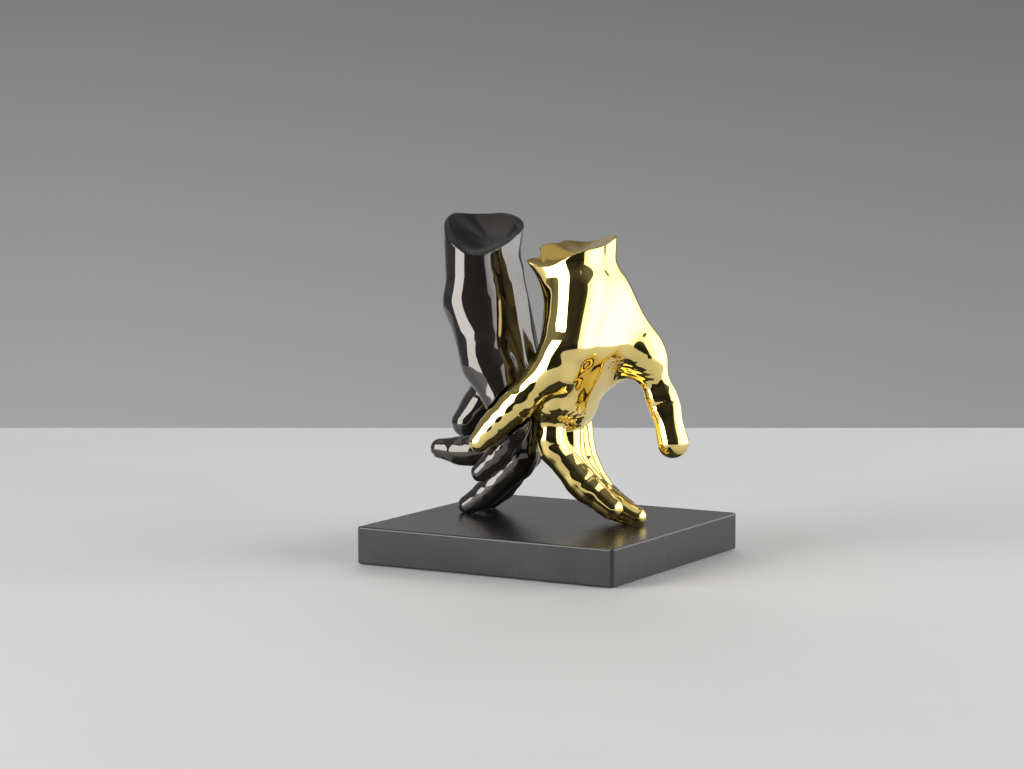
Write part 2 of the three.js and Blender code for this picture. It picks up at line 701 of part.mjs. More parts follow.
function nutGeometry() {
  const radius = NUT_ACROSS_FLATS / Math.sqrt(3);
  const corners = [0, 1, 2, 3, 4, 5].map((i) => {
    const turn = (i * Math.PI) / 3;
    return new THREE.Vector2(radius * Math.cos(turn), radius * Math.sin(turn));
  });
  return ring(new THREE.Shape(corners), NUT_HEIGHT);
}

const satinBlack = { color: 0x2b2a29, roughness: 0.42, metalness: 0 };
const felt = { color: 0x1b1b1d, roughness: 1, metalness: 0 };
const goldPlate = { color: 0xe2bf4f, roughness: 0.08, metalness: 1 };
const blackNickel = { color: 0x3a3737, roughness: 0.1, metalness: 1 };
const steel = { color: 0x8c9094, roughness: 0.4, metalness: 1 };

const group = new THREE.Group();

function addPiece(name, geometry, look) {
  const mesh = new THREE.Mesh(geometry, new THREE.MeshStandardMaterial(look));
  mesh.name = name;
  group.add(mesh);
  return mesh;
}

const goldPose = poseHand(GOLD);
const blackPose = poseHand(BLACK);
const goldFlesh = flesh(goldPose);
const blackFlesh = flesh(blackPose);
const goldBeside = seenFrom(blackPose, placed(goldPose, goldFlesh));
const blackRelieved = (x, y, z) => Math.max(blackFlesh(x, y, z), HAND_CLEARANCE - goldBeside(x, y, z));

const rods = [
  { pose: goldPose, finger: 'middle', rod: 'gold_rod', washer: 'gold_washer', nut: 'gold_nut' },
  {
    pose: blackPose,
    finger: 'middle',
    rod: 'black_rod_middle',
    washer: 'black_washer_middle',
    nut: 'black_nut_middle',
  },
  {
    pose: blackPose,
    finger: 'index',
    rod: 'black_rod_index',
    washer: 'black_washer_index',
    nut: 'black_nut_index',
  },
];
const feet = rods.map(({ pose, finger }) => rodLine(pose, finger).points[0]);

addPiece('plinth', plinthGeometry(feet), satinBlack);
addPiece('base_felt', feltGeometry(), felt);
addPiece('gold_hand', castHand(goldPose, goldFlesh, ['middle']), goldPlate);
addPiece('black_hand', castHand(blackPose, blackRelieved, ['middle', 'index']), blackNickel);
rods.forEach(({ pose, finger, rod, washer, nut }, i) => {
  addPiece(rod, rodGeometry(pose, finger, ROD_DIAMETER / 2), steel);
  addPiece(washer, washerGeometry(), steel).position.set(feet[i].x, feet[i].y, WASHER_LOW);
  addPiece(nut, nutGeometry(), steel).position.set(feet[i].x, feet[i].y, NUT_LOW);
});

export default group;
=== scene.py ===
import math
import bpy
import numpy as np
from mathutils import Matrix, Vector


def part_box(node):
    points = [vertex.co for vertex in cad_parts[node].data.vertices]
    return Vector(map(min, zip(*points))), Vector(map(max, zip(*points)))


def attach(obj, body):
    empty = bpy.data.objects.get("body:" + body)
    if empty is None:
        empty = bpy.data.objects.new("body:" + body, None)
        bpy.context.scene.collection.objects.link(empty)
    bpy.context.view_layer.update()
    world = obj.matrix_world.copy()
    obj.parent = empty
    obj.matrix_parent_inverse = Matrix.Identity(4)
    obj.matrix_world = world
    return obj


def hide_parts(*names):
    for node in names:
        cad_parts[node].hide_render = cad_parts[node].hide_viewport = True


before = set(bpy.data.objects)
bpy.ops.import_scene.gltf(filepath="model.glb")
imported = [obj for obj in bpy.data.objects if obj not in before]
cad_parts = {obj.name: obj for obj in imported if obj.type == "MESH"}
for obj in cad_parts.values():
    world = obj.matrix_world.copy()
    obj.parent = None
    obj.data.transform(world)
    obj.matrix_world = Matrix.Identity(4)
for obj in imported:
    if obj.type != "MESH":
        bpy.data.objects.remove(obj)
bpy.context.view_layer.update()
MM = 0.001

# Heights and fits in millimetres, as in the solids
PLINTH_TOP = 23.9
FINGER_FLOOR = 24.2
HAND_CLEARANCE = 1.5  # the black hand is relieved where it would come nearer to the gold one
TIP_GROUND = 0.6  # taken off the standing fingertips

# Blends between the bars of flesh that make up a hand, as in the solids
PALM_BLEND = 9.0
FINGER_ROOT_BLEND = 8.0
JOINT_BLEND = 3.0
THUMB_BLEND = 6.0
FINGER_CREASE_BLEND = 1.2
FOLD_SHARPER = 5.5  # in front of the fingers' roots
FOLD_FROM_BACK = (-9, -1)
FOLD_FROM_WRIST = (84, 94)

# Proportions that both hands share, as in the solids
JOINT_EASE = 4.0  # each bend is spread over this length before and after the joint
KNUCKLE_FULLNESS = 1
PAD_LENGTH = 14
PAD_INSET = (2, 1)
WEB_START = (0, 3, 8)  # skin between thumb and index, from the index's root
WEB_SHORT = 0.1  # share of the thumb's first bone that this skin leaves free
ADDUCTOR_SHARE = 0.8
NAIL_BED_SHARE = 0.7
THUMB_TIP_FLAT = 0.4

# Fineness of the skins, and how softly the wrists and the ground fingertips are cut
SKIN_CELL = 0.9
RIM_EASE = 1.0
GROUND_EASE = 0.5

# Relief of the digits: depths and widths in millimetres
RELIEF_FULL, RELIEF_REACH = 2, 6  # distance from the skin where relief starts to fade, and where it ends
CREASE_DEPTH, CREASE_WIDTH = 0.22, 1.3
FOLD_DEPTH, FOLD_WIDTH, FOLD_PLACES = 0.05, 0.9, (-3.6, -1.2, 1.2, 3.6)
JOINT_SWELL, JOINT_LENGTH = 0.4, 6.0
PULP_SWELL, PULP_SHARE = 0.25, 0.34
NAIL_HALF_WIDTH = 0.8  # share of the fingertip's radius
NAIL_BACK, NAIL_HALF_LENGTH = 2.6, 6.6
NAIL_GROOVE, NAIL_GROOVE_WIDTH = 0.34, 0.11
NAIL_WALL, NAIL_WALL_AT, NAIL_WALL_WIDTH = 0.22, 1.35, 0.2
NAIL_RISE, NAIL_RIM = 0.22, 0.25

# Relief of the palm and the back of the hand
CRINKLE_DEPTH = 0.17
TENDON_WIDTH = 2.2
KNUCKLE_RISE, KNUCKLE_SPREAD = 1.1, 55
UNEVENNESS = 0.05

# Both hands in a frame of their own: x to the thumb's side, y out of the palm, z from knuckles to wrist
GOLD = dict(
    left=True, contact=(58, 6.7), facing=6.2, lean=4.7, tilt=1,
    digits=dict(
        thumb=dict(root=(16.4, 10, -24.1), bones=(50, 31.1, 25.5), radii=(13, 10.5, 8.3, 9.6),
                   spread=(12.3, 3.8, -0.3), flex=(36.5, 28.3, 19.2)),
        index=dict(root=(22.1, -4.5, -93.1), bones=(40, 26.6, 18.1), radii=(9.8, 9, 7.9, 6.4),
                   spread=(-7.2, 2, 13.8), flex=(15.4, 38.1, 65.1)),
        middle=dict(root=(3.2, -1.4, -93.2), bones=(39.1, 32.4, 23), radii=(10.5, 9.4, 8.3, 5.6),
                    spread=(-5.1, 10.6, 17.4), flex=(9.2, 48.3, 68)),
        ring=dict(root=(-14.2, -5.4, -80.7), bones=(40.3, 31.6, 22.7), radii=(9.8, 8.9, 9.1, 7.2),
                  spread=(-2.4, 12.5, 12.5), flex=(5, 43.8, 56.1)),
        pinky=dict(root=(-29.4, 1.3, -69.2), bones=(34.9, 17.6, 14.3), radii=(10, 10.1, 8.5, 6.6),
                   spread=(-13.1, -13.1, -13.1), flex=(-36.5, -39.9, -36.1))),
    carpal=dict(index=(12.1, -1, -17), middle=(4.2, -2, -17), ring=(-5.1, -1, -17), pinky=(-12.3, 2, -17)),
    carpal_radius=12.8,
    wrist=dict(low=(9.6, 4, -28), high=(10.7, 0, 12), twist=(0, 0), shift=0.3, radii=(16.9, 18.3)),
    corners=(((0, 4, -28), (-5, -21.5, 6), 14, 5.5),),
    lip=((-23.4, -19.8, -5.4), 14.9, 5.4),
    thenar=(16.2, 11), adductor=((6, 8, -58.3), 13, 9.6), web=10.8,
    heel=((-16, 8.7, -22), (1, 10.5, 14), 13, 10.4), pad=(0, 3.5, -4.7), nail_bed=dict(middle=3.2),
    pulp=(-0.96, 0.28, 0), thumb_flat=3.6,
    fill=(((0, 8, -32), (3, 9, -72), 13, 11), ((-14, 9.5, -24), (-16, 12.3, -54), 12.5, 12.5),
          ((-2, 13, -24), (-2, 20, -54), 12, 12), ((12, 17, -26), (13, 23.5, -53), 12.5, 12.5),
          ((-13, 8, -64), (-13, 2, -94), 11, 9.5), ((3, 9, -72), (4, 3.2, -95), 11, 9.5),
          ((16, 10, -66), (18, 1, -93), 10, 9), ((-6, 14, -58), (-5, 4.6, -95), 11, 9.6),
          ((10, 17, -58), (11, 3.4, -95), 11, 9.6), ((-20, 9, -58), (-21, 1, -90), 11, 9)),
    edge=((-19, -3.5, -97), (-5, 1.5, -98), (11, 1, -97), (24, -3.5, -94)), edge_radius=8.5,
    crinkles=((((-28, -95), (-22, -98.5), (-9, -101)), 5), (((4, -66), (18, -77)), 4)), tendons=0.4,
    rim=dict(centre=(0.2, -0.9), half=(28.1, 19.5), mean=3, dish=4,
             waves=(6.2, 4.3, -2, -1.4, -0.8, 1.8)),
)
BLACK = dict(
    left=False, contact=(-59.5, -0.2), facing=187.3, lean=15.2, tilt=-2.5,
    digits=dict(
        thumb=dict(root=(19.1, 8.9, -26.5), bones=(46.8, 30, 18), radii=(13, 11.6, 10.8, 9.2),
                   spread=(21.7, -27.4, -31), flex=(11.5, 38, 44)),
        index=dict(root=(24, 2.1, -87.5), bones=(43.7, 26.7, 19.1), radii=(10.2, 9.3, 7.9, 6.3),
                   spread=(4.5, 4.5, 4.5), flex=(17.9, 55, 61)),
        middle=dict(root=(5.2, -2.8, -87.3), bones=(47.8, 29.8, 19.2), radii=(10.8, 9.6, 7.8, 5.6),
                    spread=(0.8, 0.8, 0.8), flex=(19.3, 63.8, 70.7)),
        ring=dict(root=(-13.7, -1, -83.9), bones=(35.9, 30, 18), radii=(10.3, 9.1, 8.9, 6.2),
                  spread=(-1.9, -3.5, -3.5), flex=(17.7, 92, 109)),
        pinky=dict(root=(-28.8, 0.9, -71.2), bones=(38, 20, 17), radii=(9.3, 8.1, 6.3, 5.9),
                   spread=(-6.3, -6.3, -6.3), flex=(-8, 46, 62))),
    carpal=dict(index=(11.2, -2.5, -17), middle=(4.2, -2.6, -17), ring=(-6, -1, -17), pinky=(-13, 2, -17)),
    carpal_radius=14.1,
    wrist=dict(low=(9.6, 1.3, -4), high=(10.7, -9.1, 30), twist=(1.3, 1), shift=2.1, radii=(17.5, 21.5)),
    corners=(((14, -5.4, 2), (21.8, -12.7, 30), 8, 10), ((14, 6.6, 2), (17.7, 8.6, 30), 8, 10.5)),
    lip=((0, 0, 20), 15.5, 15),
    thenar=(14.5, 12.5), adductor=((6, 8, -58), 13, 11), web=6.5,
    heel=((-18, 12, -26), (0.5, 8, 7), 13.2, 11), pad=(0, 4.6, 0.2), nail_bed=dict(middle=2, index=2),
    pulp=(-0.75, 0.66, 0), thumb_flat=2.2,
    fill=(((0, 8, -32), (3, 9, -72), 13, 11), ((-2, 12, -26), (-2, 14, -52), 12, 12),
          ((11, 13, -28), (12, 18, -50), 12, 12), ((3, 9, -72), (4, 5, -94), 11, 9.5),
          ((-28, 7.5, -68), (-36, -4.5, -103), 10.2, 10.8), ((-12, 0.5, 6), (-17, 11.5, -26), 14, 12)),
    edge=((-20, 3, -92), (-6, 5, -97), (8, 5, -99), (22, 6, -97)), edge_radius=8,
    crinkles=(), tendons=0.15,
    rim=dict(centre=(1.9, -4.6), half=(29.2, 18.3), mean=15.1, dish=7,
             waves=(9, 10.9, -2.4, -1.2, 1.2, -1.1)),
)
FINGERS = ("index", "middle", "ring", "pinky")


def vec(*v):
    return np.array(v, float)


def unit(v):
    return v / np.linalg.norm(v)


def heading(spread, flex):
    s, f = math.radians(spread), math.radians(flex)
    return vec(math.cos(f) * math.sin(s), math.sin(f), -math.cos(f) * math.cos(s))


def step(x, low, high):
    t = np.clip((x - low) / (high - low), 0, 1)
    return t * t * (3 - 2 * t)


def bump(x, width):
    return np.exp(-(x / width) ** 2)


def bar(p, a, b, ra, rb):
    """Distance to a bar with round ends that thins evenly, smooth where the ends begin."""
    ba = b - a
    l2 = ba @ ba
    rr = ra - rb
    a2 = l2 - rr * rr
    pa = p - a
    y = pa @ ba
    z = y - l2
    q = pa * l2 - y[:, None] * ba
    x2 = np.einsum("ij,ij->i", q, q)
    y2 = y * y * l2
    z2 = z * z * l2
    k = np.sign(rr) * rr * rr * x2
    side = (np.sqrt(x2 * a2 / l2) + y * rr) / l2 - ra
    low = np.sqrt(x2 + y2) / l2 - ra
    high = np.sqrt(x2 + z2) / l2 - rb
    d = np.where(np.sign(y) * a2 * y2 < k, low, side)
    return np.where(np.sign(z) * a2 * z2 > k, high, d)


def blend(a, b, width):
    h = np.maximum(width - np.abs(a - b), 0) / width
    return np.minimum(a, b) - h * h * width * 0.25


def cut(a, b, width):
    return -blend(-a, -b, width)


class Hand:
    def __init__(self, values):
        self.v = values
        self.joints = {}
        for name, digit in values["digits"].items():
            chain = [vec(*digit["root"])]
            for length, spread, flex in zip(digit["bones"], digit["spread"], digit["flex"]):
                chain.append(chain[-1] + length * heading(spread, flex))
            self.joints[name] = chain
        facing = math.radians(values["facing"])
        level = vec(math.cos(facing), math.sin(facing), 0)
        up = unit(vec(0, 0, 1) + math.tan(math.radians(values["lean"])) * level)
        palm = unit(level - up * (level @ up))
        thumb = np.cross(up, palm) if values["left"] else np.cross(palm, up)
        c, s = math.cos(math.radians(values["tilt"])), math.sin(math.radians(values["tilt"]))
        self.rows = np.array([c * thumb - s * up, palm, c * up + s * thumb])
        tip = self.joints["middle"][3] @ self.rows
        stand = vec(*values["contact"], PLINTH_TOP + values["digits"]["middle"]["radii"][3] - TIP_GROUND)
        self.origin = stand - tip

    def inward(self, world):
        return (world - self.origin) @ self.rows.T

    def outward(self, local):
        return local @ self.rows + self.origin

    def palm(self, p):
        v, joints = self.v, self.joints
        bars = []
        for name in FINGERS:
            radius = v["digits"][name]["radii"][0]
            start = vec(*v["carpal"][name])
            bars.append((start, joints[name][0], v["carpal_radius"], radius + KNUCKLE_FULLNESS))
        wrist = v["wrist"]
        for side in (-1, 1):
            low = vec(*wrist["low"]) * (side, 1, 1) - vec(0, side * wrist["twist"][0], 0)
            high = vec(*wrist["high"]) * (side, 1, 1) + vec(wrist["shift"], -side * wrist["twist"][1], 0)
            bars.append((low, high, *wrist["radii"]))
        core = vec(0, wrist["low"][1], wrist["low"][2])
        at, r0, r1 = v["lip"]
        bars.append((core, vec(*at), r0, r1))
        for a, b, r0, r1 in v["corners"] + v["fill"]:
            bars.append((vec(*a), vec(*b), r0, r1))
        t0, t1 = joints["thumb"][0], joints["thumb"][1]
        bars.append((t0, t1, *v["thenar"]))
        start, r0, r1 = v["adductor"]
        bars.append((vec(*start), t0 + ADDUCTOR_SHARE * (t1 - t0), r0, r1))
        bars.append((joints["index"][0] + vec(*WEB_START), t1 + WEB_SHORT * (t0 - t1), v["web"], v["web"]))
        start, end, r0, r1 = v["heel"]
        bars.append((vec(*start), joints["pinky"][0] + vec(*end), r0, r1))
        for name in FINGERS:
            radius = v["digits"][name]["radii"][0]
            pad = joints[name][0] + vec(*v["pad"])
            bars.append((pad, pad + vec(0, 0, PAD_LENGTH), radius - PAD_INSET[0], radius - PAD_INSET[1]))
        for a, b in zip(v["edge"], v["edge"][1:]):
            bars.append((vec(*a), vec(*b), v["edge_radius"], v["edge_radius"]))
        near = bar(p, *bars[0])
        for b in bars[1:]:
            near = blend(near, bar(p, *b), PALM_BLEND)
        return near

    def digit(self, p, name):
        v, chain = self.v, self.joints[name]
        digit = v["digits"][name]
        radii = digit["radii"]
        places, sizes = [chain[0]], [radii[0]]
        for joint in (1, 2):
            for other in (joint - 1, joint + 1):
                share = JOINT_EASE / digit["bones"][min(joint, other)]
                places.append(chain[joint] + share * (chain[other] - chain[joint]))
                sizes.append(radii[joint] + share * (radii[other] - radii[joint]))
        places.append(chain[3])
        sizes.append(radii[3])
        bars = list(zip(places, places[1:], sizes, sizes[1:]))
        width = JOINT_BLEND
        if name == "thumb":
            across = unit(np.cross(chain[3] - chain[1], vec(*v["pulp"])))
            flats = v["thumb_flat"] * np.array([1, 1, 1, 1, 1, THUMB_TIP_FLAT])
            bars = []
            for i in range(5):
                for side in (-1, 1):
                    ends = [places[j] + side * flats[j] * across for j in (i, i + 1)]
                    bars.append((*ends, sizes[i] - flats[i], sizes[i + 1] - flats[i + 1]))
            width = THUMB_BLEND
        near = bar(p, *bars[0])
        for b in bars[1:]:
            near = blend(near, bar(p, *b), width)
        if name in v["nail_bed"]:
            back = heading(digit["spread"][2], digit["flex"][2] - 90)
            bed = chain[3] + NAIL_BED_SHARE * (chain[2] - chain[3]) + v["nail_bed"][name] * back
            near = blend(near, bar(p, chain[3], bed, radii[3], (radii[3] + radii[2]) / 2), JOINT_BLEND)
        return near + self.digit_relief(p, name, near)

    def digit_relief(self, p, name, near):
        """Creases, pads, knuckle folds and the nail of one digit, as a change of depth."""
        relief = np.zeros(len(p))
        pick = np.abs(near) < RELIEF_REACH
        if not pick.any():
            return relief
        q = p[pick]
        digit, chain = self.v["digits"][name], self.joints[name]
        radii = digit["radii"]
        axes = [heading(s, f) for s, f in zip(digit["spread"], digit["flex"])]
        if name == "thumb":
            pulp = vec(*self.v["pulp"])
            fronts = [unit(pulp - a * (pulp @ a)) for a in axes]
        else:
            fronts = [heading(s, f + 90) for s, f in zip(digit["spread"], digit["flex"])]
        out = np.zeros(len(q))
        for j in (1, 2):
            axis = unit(axes[j - 1] + axes[j])
            front = unit(fronts[j - 1] + fronts[j])
            r = q - chain[j]
            s, w = r @ axis, (r @ front) / radii[j]
            flex_side, back_side = step(w, 0.1, 0.8), step(-w, 0.3, 0.9)
            out += flex_side * CREASE_DEPTH * bump(s, CREASE_WIDTH)
            folds = sum(bump(s - place, FOLD_WIDTH) for place in FOLD_PLACES)
            out += back_side * (FOLD_DEPTH * folds - JOINT_SWELL * bump(s, JOINT_LENGTH))
        for i in (0, 1, 2):
            r = q - (chain[i] + chain[i + 1]) / 2
            length = digit["bones"][i]
            s, w = r @ axes[i], (r @ fronts[i]) / radii[i + 1]
            out -= PULP_SWELL * bump(s, PULP_SHARE * length) * step(w, 0.1, 0.95)
        # Nail with its fold behind and beside it, and a free edge at the tip
        r = q - chain[3]
        across = np.cross(axes[2], fronts[2])
        s, u, w = r @ axes[2], r @ across, -(r @ fronts[2]) / radii[3]
        half = NAIL_HALF_WIDTH * radii[3]
        ring = (np.abs(u / half) ** 2.6 + np.abs((s + NAIL_BACK) / NAIL_HALF_LENGTH) ** 3) ** (1 / 2.6)
        on_back = step(w, 0.2, 0.55)
        groove = NAIL_GROOVE * bump(ring - 1, NAIL_GROOVE_WIDTH)
        out += on_back * (groove - NAIL_WALL * bump(ring - NAIL_WALL_AT, NAIL_WALL_WIDTH))
        out -= on_back * NAIL_RISE * step(1 - ring, 0.0, NAIL_RIM)
        relief[pick] = out * (1 - step(np.abs(near[pick]), RELIEF_FULL, RELIEF_REACH))
        return relief

    def skin_relief(self, p, near):
        """Crinkled folds of the palm, tendons and knuckles of the back, faint unevenness all over."""
        relief = np.zeros(len(p))
        pick = np.abs(near) < RELIEF_REACH
        q = p[pick]
        joints = self.joints
        x, y, z = q.T
        palm_side, back_side = step(y, -8, -2), step(-y, 2, 8)
        out = np.zeros(len(q))
        wrinkle = np.sin(x - 0.5 * z + 1.5 * np.sin(0.4 * z))
        wrinkle = wrinkle * np.sin(0.7 * z + 0.5 * y + 1.2 * np.sin(0.5 * x))
        for points, width in self.v["crinkles"]:
            out += CRINKLE_DEPTH * palm_side * wrinkle * bump(self.to_line(x, z, points), width)
        for name in FINGERS:
            root = joints[name][0]
            start = vec(*self.v["carpal"][name])
            points = [(0.6 * start[0], -4), (root[0], root[2])]
            tendon = bump(self.to_line(x, z, points), TENDON_WIDTH) * step(-z, 10, 40)
            out -= back_side * self.v["tendons"] * tendon
            off_knuckle = (x - root[0]) ** 2 + (z - root[2]) ** 2
            out -= back_side * KNUCKLE_RISE * np.exp(-off_knuckle / KNUCKLE_SPREAD)
        out += UNEVENNESS * np.sin(0.31 * x + 0.7) * np.sin(0.27 * y + 1.9) * np.sin(0.23 * z + 0.4)
        relief[pick] = out
        return relief

    @staticmethod
    def to_line(x, z, points):
        best = np.full(len(x), 1e6)
        for (ax, az), (bx, bz) in zip(points, points[1:]):
            dx, dz = bx - ax, bz - az
            t = np.clip(((x - ax) * dx + (z - az) * dz) / (dx * dx + dz * dz), 0, 1)
            best = np.minimum(best, np.hypot(x - ax - t * dx, z - az - t * dz))
        return best

    def cut_height(self, x, y):
        rim = self.v["rim"]
        u = (x - rim["centre"][0]) / rim["half"][0]
        w = (y - rim["centre"][1]) / rim["half"][1]
        turn = np.arctan2(w, u)
        out = np.minimum(np.hypot(u, w), 1.05)
        edge = 0
        for order in (1, 2, 3):
            edge = edge + rim["waves"][2 * order - 2] * np.cos(order * turn)
            edge = edge + rim["waves"][2 * order - 1] * np.sin(order * turn)
        return rim["mean"] + edge * out - rim["dish"] * np.maximum(1 - out * out, 0)

    def flesh(self, world):
        p = self.inward(world)
        fan = self.digit(p, "thumb")
        for name in FINGERS:
            fan = blend(fan, self.digit(p, name), FINGER_CREASE_BLEND)
        in_front = step(p[:, 1], *FOLD_FROM_BACK) * step(-p[:, 2], *FOLD_FROM_WRIST)
        fold = FINGER_ROOT_BLEND - FOLD_SHARPER * in_front
        near = blend(self.palm(p), fan, fold)
        near = near + self.skin_relief(p, near)
        return cut(near, p[:, 2] - self.cut_height(p[:, 0], p[:, 1]), RIM_EASE)

    def field(self, world):
        return cut(self.flesh(world), FINGER_FLOOR - world[:, 2], GROUND_EASE)


def in_lots(field, points, lot=60000):
    return np.concatenate([field(points[i:i + lot]) for i in range(0, len(points), lot)])


def skin(field, low, high, cell):
    """Vertices, normals and quadrilaterals where a field is zero, sampled only near the surface."""
    count = np.ceil((high - low) / cell).astype(int) + 1
    lump = 5
    coarse_count = count // lump + 2
    grid = np.stack(np.meshgrid(*[np.arange(n) for n in coarse_count], indexing="ij"), -1).reshape(-1, 3)
    coarse = in_lots(field, low + grid * cell * lump).reshape(coarse_count)
    nearest = [np.rint(np.arange(n) / lump).astype(int) for n in count]
    value = coarse[np.ix_(*nearest)]
    close = np.argwhere(np.abs(value) < lump * cell * 1.05)
    value[tuple(close.T)] = in_lots(field, low + close * cell)
    inside = value < 0
    cells = count - 1
    places, keys, edges = [], [], []
    for axis in range(3):
        head = [slice(None)] * 3
        tail = [slice(None)] * 3
        head[axis], tail[axis] = slice(0, -1), slice(1, None)
        at = np.argwhere(inside[tuple(head)] != inside[tuple(tail)])
        ahead = at.copy()
        ahead[:, axis] += 1
        v0, v1 = value[tuple(at.T)], value[tuple(ahead.T)]
        place = at.astype(float)
        place[:, axis] += v0 / (v0 - v1)
        b, c = (axis + 1) % 3, (axis + 2) % 3
        ring = []
        for db, dc in ((-1, -1), (0, -1), (0, 0), (-1, 0)):
            near = at.copy()
            near[:, b] += db
            near[:, c] += dc
            key = np.ravel_multi_index(tuple(near.T), cells)
            ring.append(key)
            keys.append(key)
            places.append(place)
        ring = np.stack(ring, 1)
        ring[v0 > 0] = ring[v0 > 0][:, ::-1]
        edges.append(ring)
    keys, places, quads = np.concatenate(keys), np.concatenate(places), np.concatenate(edges)
    names, back = np.unique(keys, return_inverse=True)
    total = np.bincount(back).astype(float)
    verts = np.stack([np.bincount(back, places[:, i]) / total for i in range(3)], 1) * cell + low
    quads = np.searchsorted(names, quads)
    start = verts.copy()
    for h in (0.3, 0.3, 0.3):
        value, slope = gradient(field, verts, h)
        move = -value[:, None] * slope / np.maximum((slope ** 2).sum(1), 0.2)[:, None]
        verts = verts + np.clip(move, -0.5 * cell, 0.5 * cell)
    verts = start + np.clip(verts - start, -0.7 * cell, 0.7 * cell)
    normals = gradient(field, verts, 0.35)[1]
    normals /= np.maximum(np.linalg.norm(normals, axis=1), 1e-9)[:, None]
    return verts, normals, quads


def gradient(field, points, h):
    value = in_lots(field, points)
    slope = [in_lots(field, points + h * e) - in_lots(field, points - h * e) for e in np.eye(3)]
    return value, np.stack(slope, 1) / (2 * h)


def hand_object(name, hand, field, node, skin_mat, shaded_cut_mat):
    low, high = [np.array(v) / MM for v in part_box(node)]
    verts, normals, quads = skin(field, low - 3.5, high + 3.5, SKIN_CELL)
    mesh = bpy.data.meshes.new(name)
    mesh.vertices.add(len(verts))
    mesh.vertices.foreach_set("co", (verts * MM).ravel())
    mesh.loops.add(quads.size)
    mesh.loops.foreach_set("vertex_index", quads.ravel())
    mesh.polygons.add(len(quads))
    mesh.polygons.foreach_set("loop_start", np.arange(0, quads.size, 4))
    mesh.polygons.foreach_set("use_smooth", np.ones(len(quads), bool))
    mesh.update(calc_edges=True)
    mesh.validate()
    mesh.normals_split_custom_set_from_vertices(normals.tolist())
    mesh.materials.append(skin_mat)
    mesh.materials.append(shaded_cut_mat)
    faces = np.zeros(len(mesh.polygons) * 3)
    mesh.polygons.foreach_get("center", faces)
    middle = hand.inward(faces.reshape(-1, 3) / MM)
    # Faces on the wrist cut take the second material: satin, with a darker colour that is painted shade
    on_shaded_cut = np.abs(middle[:, 2] - hand.cut_height(middle[:, 0], middle[:, 1])) < 0.45
    mesh.polygons.foreach_set("material_index", on_shaded_cut.astype(np.int32))
    obj = bpy.data.objects.new(name, mesh)
    bpy.context.scene.collection.objects.link(obj)
    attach(obj, "root")
    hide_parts(node)
    return obj


def nodes_of(name):
    mat = bpy.data.materials.new(name)
    mat.use_nodes = True
    tree = mat.node_tree
    return mat, tree, tree.nodes["Principled BSDF"]


def add(tree, kind, **sockets):
    node = tree.nodes.new(kind)
    for key, value in sockets.items():
        node.inputs[key.replace("_", " ")].default_value = value
    return node


def noise(tree, **sockets):
    """Cloudy pattern fixed to the object."""
    node = add(tree, "ShaderNodeTexNoise", **sockets)
    place = tree.nodes.new("ShaderNodeTexCoord").outputs["Object"]
    tree.links.new(place, node.inputs["Vector"])
    return node.outputs["Fac"]


def roughen(tree, shader, height, strength, distance):
    rise = add(tree, "ShaderNodeBump", Strength=strength, Distance=distance)
    tree.links.new(height, rise.inputs["Height"])
    tree.links.new(rise.outputs["Normal"], shader.inputs["Normal"])


def grey(value):
    return (value, value, value)


def ramp(tree, source, stops):
    node = tree.nodes.new("ShaderNodeValToRGB")
    while len(node.color_ramp.elements) < len(stops):
        node.color_ramp.elements.new(0.5)
    for element, (place, colour) in zip(node.color_ramp.elements, stops):
        element.position = place
        element.color = (*colour, 1)
    tree.links.new(source, node.inputs["Fac"])
    return node.outputs["Color"]


def plated(name, thin, thick, rough, ripple, metallic=1.0):
    """Mirror plating: slight colour drift, faint casting ripple under the polish, dulled patches."""
    mat, tree, shader = nodes_of(name)
    shader.inputs["Metallic"].default_value = metallic
    colour = ramp(tree, noise(tree, Scale=24.0, Detail=3.0), [(0.35, thin), (0.7, thick)])
    tree.links.new(colour, shader.inputs["Base Color"])
    low, high = rough
    dull = ramp(tree, noise(tree, Scale=55.0, Detail=4.0), [(0.4, grey(low)), (0.75, grey(high))])
    tree.links.new(dull, shader.inputs["Roughness"])
    roughen(tree, shader, noise(tree, Scale=95.0, Detail=1.5), ripple, 0.0006)
    return mat


gold_mat = plated("gold_plate_mirror", (0.94, 0.735, 0.25), (0.96, 0.76, 0.29), (0.02, 0.06), 0.05)
# Gold wrist cut face: the rougher satin finish is real; its darker colour than the mirror plating is
# painted shade
gold_cut_painted_shade = plated("gold_plate_cut_satin_painted_shade", (0.56, 0.38, 0.08), (0.66, 0.46, 0.11), (0.20, 0.28), 0.12)
black_mat = plated(
    "black_nickel_mirror", (0.108, 0.100, 0.093), (0.130, 0.120, 0.112), (0.03, 0.07), 0.06, 0.9,
)
# Black wrist cut face: the rougher satin finish is real; its darker colour than the mirror nickel is
# painted shade
black_cut_painted_shade = plated("black_nickel_cut_satin_painted_shade", (0.054, 0.049, 0.046), (0.068, 0.062, 0.058), (0.22, 0.32), 0.10)

gold = Hand(GOLD)
black = Hand(BLACK)


def black_field(p):
    return np.maximum(black.field(p), HAND_CLEARANCE - gold.flesh(p))


gold_hand = hand_object("gold_hand_skin", gold, gold.field, "gold_hand", gold_mat, gold_cut_painted_shade)
black_hand = hand_object("black_hand_skin", black, black_field, "black_hand", black_mat, black_cut_painted_shade)


